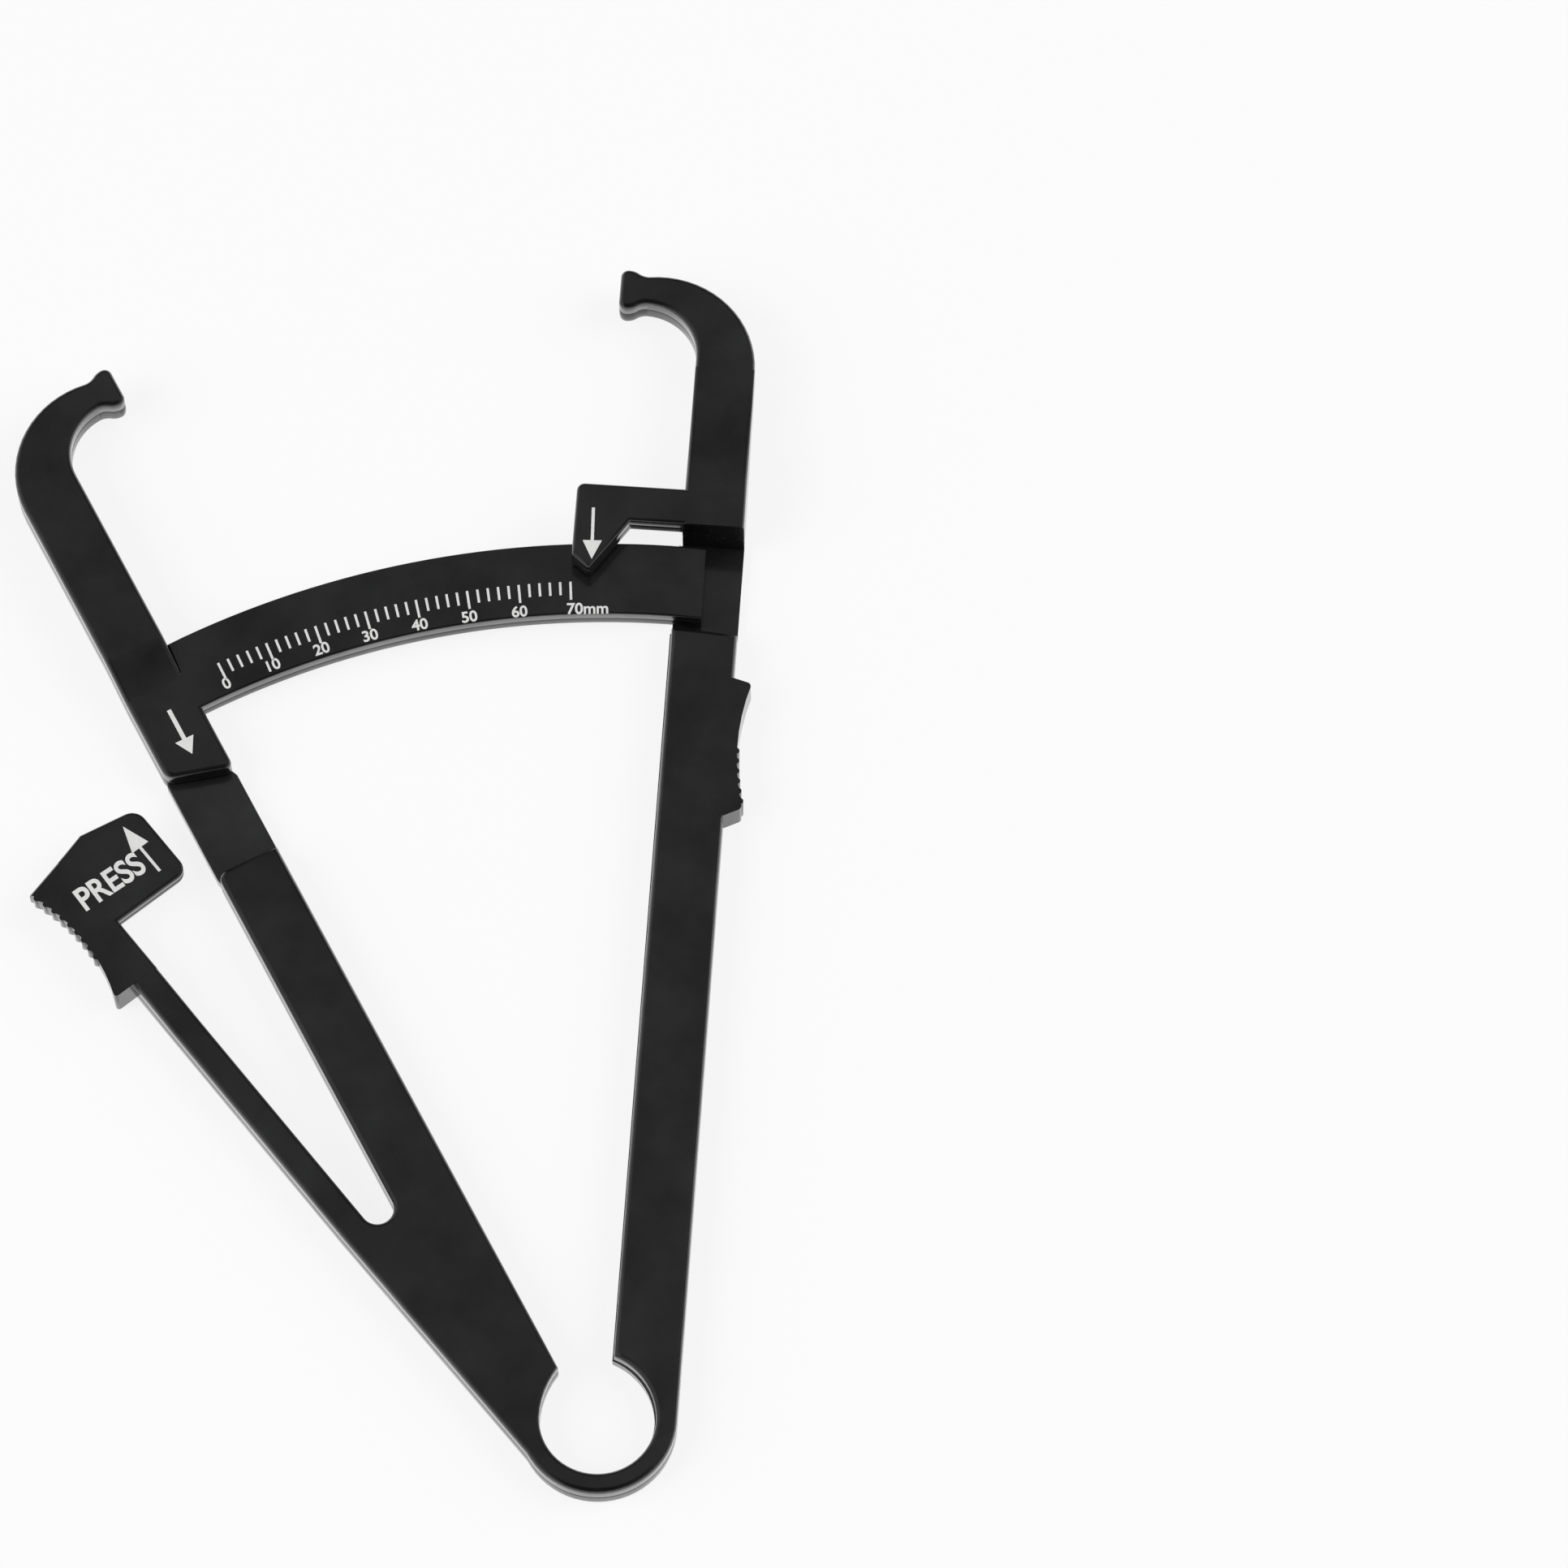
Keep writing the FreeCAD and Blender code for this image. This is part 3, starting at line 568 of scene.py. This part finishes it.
def makeScaleArc():
    # a tongue runs on inside the arm, so the two lie flush as far as the arm's rise
    inner, brow = bars["upperInner"]["left"], bars["inner"]
    tongue, lean = inner + edges["tongue"], arms["left"]["lean"]
    low, high = bars["arcInner"], bars["arcOuter"]
    root, flushEnd = onCircle(low, brow), (inner, bars["flushEnd"])
    lowEnd = inwards(low, lean + bars["arcEndLow"])
    highEnd = inwards(high, lean + bars["arcEndHigh"])
    points = [
        root + (-low,),
        lowEnd,
        highEnd + (high,),
        onCircle(high, inner),
        flushEnd,
        (tongue, bars["flushEnd"]),
        (tongue, root[1]),
    ]
    bm = plate("left", points, levels["arcBase"], levels["arcTop"] - edges["tongueDip"] * mm,
               rim="fineRim",
               seams=[(lowEnd, highEnd), (flushEnd, (tongue, bars["flushEnd"])),
                      ((tongue, bars["flushEnd"]), (tongue, root[1]))])
    asPiece(bm, "scalePlate", "left_arm", ["scale_arc"])


flag = {  # mm: the plate with the pointer, which hangs over the scale
    "high": 135.7, "lip": 2.5, "pointerAcross": 10.6, "pointerFlat": 0.5,
    "pointerLow": 122.9, "pointerSide": 1.7, "flare": 5.35, "round": 1.1,
    "arrowTail": (-10.55, 131.85), "arrowTip": (-10.2, 124.0), "arrowHead": 2.85,
    "arrowWidth": 2.7, "arrowShaft": 0.45,
}


grip = {  # mm: the toothed rest for the fingers
    "start": 88.4, "end": 109.2, "crest": 13.35, "toe": 1.3, "brow": 0.7, "hollow": 33.0,
    "grooves": 6, "inset": 1.05, "step": 1.5, "groove": 0.45, "lift": 0.11, "round": 0.6,
}


def makeRightArm():
    inner, outer, end = bars["inner"], bars["outer"], bars["rootEnd"]
    low, high = bars["channelLow"], bars["channelHigh"]
    lower = plate("right", [
        (inner, end),
        onCircle(low, inner) + (low,),
        onCircle(low, outer),
        (outer, end),
    ], 0, levels["barTop"], seams=[((inner, end), (outer, end))])
    slipLowerHalf(lower)
    asPiece(lower, "rightArmLower", "right_arm", ["right_arm_lower"])
    channel = plate("right", [
        onCircle(low, inner),
        (inner, high),
        (outer, high),
        onCircle(low, outer) + (-low,),
    ], 0, levels["floorTop"], rim=None, parting=False)
    # the channel floor gets the lighter copy of the plastic, as painted light
    asPiece(channel, "rightArmChannel", "right_arm", ["right_arm_channel"], finish=paintedLightPlastic)
    upperInner, upperOuter = bars["upperInner"]["right"], bars["upperOuter"]["right"]
    base = bars["hookBase"]
    upper = plate("right", [
        (upperInner, high), (upperInner, base), (upperOuter, base), (outer, high),
    ], 0, levels["flagTop"], rim="fineRim", seams=[((upperInner, base), (upperOuter, base))],
        wideRims=[((upperInner, high), (upperInner, base)), ((outer, high), (upperOuter, base))])
    drop = levels["jawBase"] / mm
    lift = (levels["jawTop"] - levels["flagTop"]) / mm
    raiseAlong(upper, "right", bars["rightRise"], (drop, lift))
    asPiece(upper, "rightArmUpper", "right_arm", ["right_arm_upper"])


def makeFlag():
    inner = bars["upperInner"]["right"] + edges["tongue"]
    low, high = bars["channelHigh"], flag["high"]
    across, half = flag["pointerAcross"], flag["pointerFlat"] / 2
    corner = -flag["lip"] - across
    points = [
        (inner, high),
        (inner, low),
        (flag["flare"] - across, low),
        (half - across, flag["pointerLow"]),
        (-half - across, flag["pointerLow"]),
        (corner, flag["pointerLow"] + flag["pointerSide"]),
        (corner, high),
    ]
    bm = plate("right", points, levels["flagBase"], levels["flagTop"] - edges["tongueDip"] * mm,
               rim="flagRim", seams=[((inner, low), (inner, high))],
               corners=[(corner, high, flag["round"])])
    asPiece(bm, "pointerFlag", "right_arm", ["pointer_flag"])


def makePointerArrow():
    tail, tip = Vector(flag["arrowTail"]), Vector(flag["arrowTip"])
    way = (tip - tail).normalized()
    aside = Vector((-way.y, way.x))
    neck = tip - way * flag["arrowHead"]
    shaft, wing = aside * flag["arrowShaft"] / 2, aside * flag["arrowWidth"] / 2
    points = [tail - shaft, neck - shaft, neck - wing, tip, neck + wing, neck + shaft,
              tail + shaft]
    bm = drawOutline("right", [tuple(point) for point in points])
    raiseOutline(bm, levels["flagTop"], levels["flagTop"] + inkThick)
    asPiece(bm, "pointerArrow", "right_arm", ["pointer_arrow"], ink)


def scallops(crest, low, high, look, fromTop):
    # an edge hollowed to a radius, with round grooves in it, as points from low to high
    radius, groove, lift = look["hollow"], look["groove"], look["lift"]
    middle, half = (low + high) / 2, (high - low) / 2
    centre = crest + math.sqrt(radius ** 2 - half ** 2)
    points = [(crest, low, radius)]
    places = [half - look["inset"] - i * look["step"] for i in range(look["grooves"])]
    places = sorted(places if fromTop else [-place for place in places])
    for place in places:
        rim = centre - math.sqrt(radius ** 2 - place ** 2)
        reach = math.sqrt(groove ** 2 - lift ** 2)
        points.append((rim, middle + place - reach, -groove))
        points.append((rim, middle + place + reach, radius))
    points.append((crest, high))
    return points


def makeFingerGrip():
    outer, start, end, crest = bars["outer"], grip["start"], grip["end"], grip["crest"]
    toe, brow, back = start + grip["toe"], end - grip["brow"], outer - edges["tongue"]
    points = [(outer, end), (back, end), (back, start), (outer, start)]
    points += scallops(crest, toe, brow, grip, False)
    bm = plate("right", points, 0, levels["barTop"] - edges["tongueDip"] * mm, rim="fineRim",
               underRim="fineRim", parting=False, seams=[((back, start), (back, end))],
               corners=[(crest, brow, grip["round"]), (crest, toe, grip["round"])])
    asPiece(bm, "fingerGrip", "right_arm", ["finger_grip"])


lever = {  # mm: the spring beam's bend, the tab and the thumb block
    "bendStart": 42.0, "bendEnd": 60.0, "bendCuts": 20,
    "tabLow": 97.64, "tabHigh": 109.49, "reach": 5.0,
    "tabRound": 1.8, "peakAcross": 3.6, "peakAlong": 111.19, "thumbAcross": 14.4,
    "thumbHigh": 108.39, "thumbInner": 110.24, "thumbRound": 0.7, "swell": 10.0, "hollow": 28.0,
    "underHeight": 2.6, "underDraw": 1.1, "underAcross": 11.8, "underStart": 1.0, "underFade": 3.0,
    "grooves": 9, "inset": 1.05, "step": 1.5, "groove": 0.45, "lift": 0.11,
}


def drawUnder(bm):
    # under the ribs, the lower part of the scalloped side falls away inwards
    height = lever["underHeight"] * mm
    bmesh.ops.bisect_plane(bm, geom=bm.verts[:] + bm.edges[:] + bm.faces[:],
                           plane_co=(0, 0, height), plane_no=(0, 0, 1))
    inwardWay = at("lever", -1, 0) - at("lever", 0, 0)
    for vert in bm.verts:
        across, along = seenFrom("lever", vert.co)
        if vert.co.z < height and across > lever["underAcross"]:
            beyond = along - bars["ledge"] - lever["underStart"]
            share = ease(beyond / lever["underFade"]) * (1 - vert.co.z / height)
            vert.co += inwardWay * lever["underDraw"] * share


def makeLeverBeam():
    inner, outer, fork, ledge = (bars[name] for name in
                                 ("beamInner", "beamOuter", "forkAlong", "ledge"))
    beam = plate("lever", [
        (inner, fork), (inner, ledge), (outer, ledge), (outer, fork),
    ], 0, levels["barTop"],
        seams=[((inner, fork), (outer, fork)), ((inner, ledge), (outer, ledge))])
    cutAcross(beam, "lever", [fork + 1 + i for i in range(lever["bendCuts"])])
    raiseAlong(beam, "lever", (ledge - lever["swell"], ledge),
               (0, (levels["arcTop"] - levels["barTop"]) / mm))
    middle = (inner + outer) / 2
    bends = ("left_arm", "thumb_lever", at("lever", middle, lever["bendStart"]),
             at("lever", middle, lever["bendEnd"]))
    asPiece(beam, "leverBeam", bends, ["lever_beam"])


def makePressTab():
    inner = bars["beamInner"]
    back = inner + edges["tongue"]
    browSlope = (lever["thumbHigh"] - lever["thumbInner"]) / (lever["thumbAcross"] - inner)
    backHigh = (back, lever["thumbInner"] + edges["tongue"] * browSlope)
    tab = plate("lever", [
        (back, lever["tabLow"]),
        (-lever["reach"], lever["tabLow"]),
        (-lever["reach"], lever["tabHigh"]),
        (lever["peakAcross"], lever["peakAlong"]),
        (inner, lever["thumbInner"]),
        backHigh,
    ], levels["tabBase"], levels["arcTop"] - edges["tongueDip"] * mm, rim="thumbRim",
        seams=[((back, lever["tabLow"]), backHigh)],
        corners=[(-lever["reach"], lever["tabLow"], lever["tabRound"]),
                 (-lever["reach"], lever["tabHigh"], lever["tabRound"])])
    asPiece(tab, "pressTab", "thumb_lever", ["press_paddle"])


def makeThumbBlock():
    inner, outer, ledge = bars["beamInner"], bars["beamOuter"], bars["ledge"]
    crest, high, browStart = lever["thumbAcross"], lever["thumbHigh"], (inner, lever["thumbInner"])
    points = [browStart, (inner, ledge), (outer, ledge)]
    points += scallops(crest, ledge, high, lever, True)
    thumb = plate("lever", points, 0, levels["arcTop"], rim="fineRim", underRim="fineRim",
                  parting=False, seams=[((inner, ledge), (outer, ledge))], wideRim="thumbRim",
                  wideRims=[((inner, ledge), browStart), (browStart, (crest, high))],
                  corners=[(crest, ledge, lever["thumbRound"])])
    drawUnder(thumb)
    asPiece(thumb, "thumbBlock", "thumb_lever", ["thumb_grip"])


makeSpringRing()
makeLeftWeb()
makeRecessFloor()
makeLeftUpperArm()
makeJaw("left", "left_arm", "leftHook", "leftPad", "left_jaw_hook", "left_jaw_tip")
makeScaleArc()
print("left arm: made")
makeRightArm()
makeJaw("right", "right_arm", "rightHook", "rightPad", "right_jaw_hook", "right_jaw_tip")
makeFlag()
makePointerArrow()
makeFingerGrip()
makeLeverBeam()
makePressTab()
makeThumbBlock()
print("right arm and lever: made")


def placeWord(name, words, body, height, centre, turn, weight, stretch=1.0):
    # words in one line; the height and the middle of their box are in metres
    curve = bpy.data.curves.new(name, "FONT")
    curve.body = words
    curve.offset = weight
    curve.extrude = 0.01
    text = bpy.data.objects.new(name, curve)
    bpy.context.scene.collection.objects.link(text)
    bpy.context.view_layer.update()
    shaped = text.evaluated_get(bpy.context.evaluated_depsgraph_get())
    mesh = bpy.data.meshes.new_from_object(shaped)
    bpy.data.objects.remove(text)
    xs = [vert.co.x for vert in mesh.vertices]
    ys = [vert.co.y for vert in mesh.vertices]
    tall = max(ys) - min(ys)
    mesh.transform(Matrix.Translation((-(max(xs) + min(xs)) / 2, -(max(ys) + min(ys)) / 2, 0)))
    size = height / tall
    mesh.transform(Matrix.Diagonal((size * stretch, size, inkThick / 2 / curve.extrude, 1)))
    mesh.transform(Matrix.Rotation(turn, 4, "Z"))
    mesh.transform(Matrix.Translation(centre))
    mesh.materials.clear()
    mesh.materials.append(ink)
    piece = bpy.data.objects.new(name, mesh)
    bpy.context.scene.collection.objects.link(piece)
    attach(piece, body)


scale = {  # degrees from +Y and mm
    "zeroAt": 26.067, "perMm": 0.3405, "step": 10, "last": 70, "middle": 119.4, "drift": 0.012,
    "height": 1.7, "lastHeight": 1.75, "shift": 0.1, "lastShift": -1.1, "weight": 0.022,
}


def makeNumbers():
    level = levels["arcTop"] + inkThick / 2
    for value in range(0, scale["last"] + 1, scale["step"]):
        last = value == scale["last"]
        words = "%dmm" % value if last else str(value)
        shift = scale["lastShift"] if last else scale["shift"]
        height = scale["lastHeight"] if last else scale["height"]
        angle = math.radians(scale["zeroAt"] - value * scale["perMm"] + shift)
        radius = (scale["middle"] - value * scale["drift"]) * mm
        centre = Vector((-radius * math.sin(angle), radius * math.cos(angle), level))
        placeWord("number%d" % value, words, "left_arm", height * mm, centre, angle,
                  scale["weight"])


press = {  # mm and degrees, in the lever's frame
    "height": 3.65, "middleAcross": 4.5, "middleAlong": 103.0, "turn": -2.5,
    "stretch": 0.85, "weight": 0.021,
}


def makePressWord():
    centre = at("lever", press["middleAcross"], press["middleAlong"])
    centre.z = levels["arcTop"] + inkThick / 2
    placeWord("pressWord", "PRESS", "thumb_lever", press["height"] * mm, centre,
              math.radians(arms["lever"]["lean"] + press["turn"]), press["weight"],
              press["stretch"])


makeNumbers()
makePressWord()
for node in ("scale_graduations", "left_arm_arrow", "paddle_arrow"):
    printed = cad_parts[node]
    printed.data.materials.clear()
    printed.data.materials.append(ink)
print("print: numbers, ticks, arrows and the word on the tab")

studio = {  # metres, watts and strengths; the sky is white at the horizon and dim above it
    "floorSize": 6.0, "floorGrey": 0.93, "floorGlow": 0.85,
    "horizon": 1.0, "horizonEnd": (0.05, 0.16), "dusk": 0.03,
    "ceiling": 0.20, "ceilingStart": (0.50, 0.85), "ceilingNear": (-0.40, 0.15),
    "leftSide": 0.40, "rightSide": 0.15, "sideStart": (0.40, 0.75), "aim": (0.0, 0.08, 0.0),
    "lamps": {  # they don't show in the plastic, only the sky does
        "leftLamp": {"place": (-1.35, -0.35, 1.05), "size": 1.6, "power": 20.5},
        "rightLamp": {"place": (1.4, 0.25, 1.05), "size": 1.6, "power": 20.5},
    },
}


def makeFloor():
    bm = bmesh.new()
    bmesh.ops.create_grid(bm, x_segments=1, y_segments=1, size=studio["floorSize"] / 2)
    mesh = bpy.data.meshes.new("floor")
    bm.to_mesh(mesh)
    bm.free()
    floor = bpy.data.objects.new("floor", mesh)
    bpy.context.scene.collection.objects.link(floor)
    material, graph = newMaterial("paleFloor")
    grey = studio["floorGrey"]
    matte = graph.make("ShaderNodeBsdfDiffuse", inputs={"Color": (grey, grey, grey, 1.0)})
    glow = graph.make("ShaderNodeEmission", inputs={
        "Color": (1.0, 1.0, 1.0, 1.0), "Strength": 1.0})
    seen = graph.make("ShaderNodeLightPath", output="Is Camera Ray")
    mirrored = graph.make("ShaderNodeLightPath", output="Is Glossy Ray")
    through = graph.make("ShaderNodeLightPath", output="Is Transmission Ray")
    share = (seen + mirrored + through) * studio["floorGlow"]
    surface = graph.make("ShaderNodeMixShader", inputs={0: share, 1: matte, 2: glow})
    closeMaterial(graph, surface)
    mesh.materials.append(material)


def makeLamps():
    for name, lamp in studio["lamps"].items():
        light = bpy.data.lights.new(name, "AREA")
        light.shape = "DISK"
        light.size = lamp["size"]
        light.energy = lamp["power"]
        holder = bpy.data.objects.new(name, light)
        bpy.context.scene.collection.objects.link(holder)
        holder.location = lamp["place"]
        holder.visible_glossy = False
        way = Vector(studio["aim"]) - holder.location
        holder.rotation_euler = way.to_track_quat("-Z", "Y").to_euler()


def makeWorld():
    world = bpy.data.worlds.new("studio")
    world.use_nodes = True
    world.node_tree.nodes.clear()
    graph = Signal(world.node_tree)
    way = graph.make("ShaderNodeTexCoord", output="Generated")
    x, y, height = (graph.make("ShaderNodeSeparateXYZ", inputs={"Vector": way}, output=axis)
                    for axis in "XYZ")

    def fade(value, places, low, high):
        return graph.make("ShaderNodeMapRange", {"interpolation_type": "SMOOTHSTEP"}, {
            "Value": value, "From Min": places[0], "From Max": places[1],
            "To Min": low, "To Max": high})

    ceiling = fade(height, studio["ceilingStart"], 0.0, studio["ceiling"])
    strength = (fade(height, studio["horizonEnd"], studio["horizon"] - studio["dusk"], 0.0)
                + ceiling * fade(y, studio["ceilingNear"], 0.0, 1.0)
                + fade(x * -1, studio["sideStart"], 0.0, studio["leftSide"])
                + fade(x, studio["sideStart"], 0.0, studio["rightSide"]) + studio["dusk"])
    background = graph.make("ShaderNodeBackground", inputs={
        "Color": (1.0, 1.0, 1.0, 1.0), "Strength": strength})
    graph.make("ShaderNodeOutputWorld", inputs={"Surface": background})
    bpy.context.scene.world = world


view = {  # the camera looks down on the table from the side of the ring
    "target": (0.02518, 0.09414, 0.0), "distance": 1.21517, "tilt": 22.162,
    "lens": 199.83, "sensor": 36.0,
}


def makeCamera():
    camera = bpy.data.cameras.new("camera")
    camera.lens = view["lens"]
    camera.sensor_width = view["sensor"]
    holder = bpy.data.objects.new("camera", camera)
    bpy.context.scene.collection.objects.link(holder)
    tilt = math.radians(view["tilt"])
    away = Vector((0, -math.sin(tilt), math.cos(tilt))) * view["distance"]
    holder.location = Vector(view["target"]) + away
    holder.rotation_euler = (tilt, 0, 0)
    bpy.context.scene.camera = holder


makeFloor()
makeLamps()
makeWorld()
makeCamera()
bpy.context.scene.view_settings.view_transform = "Standard"
print("studio: floor, lamps, world and camera")
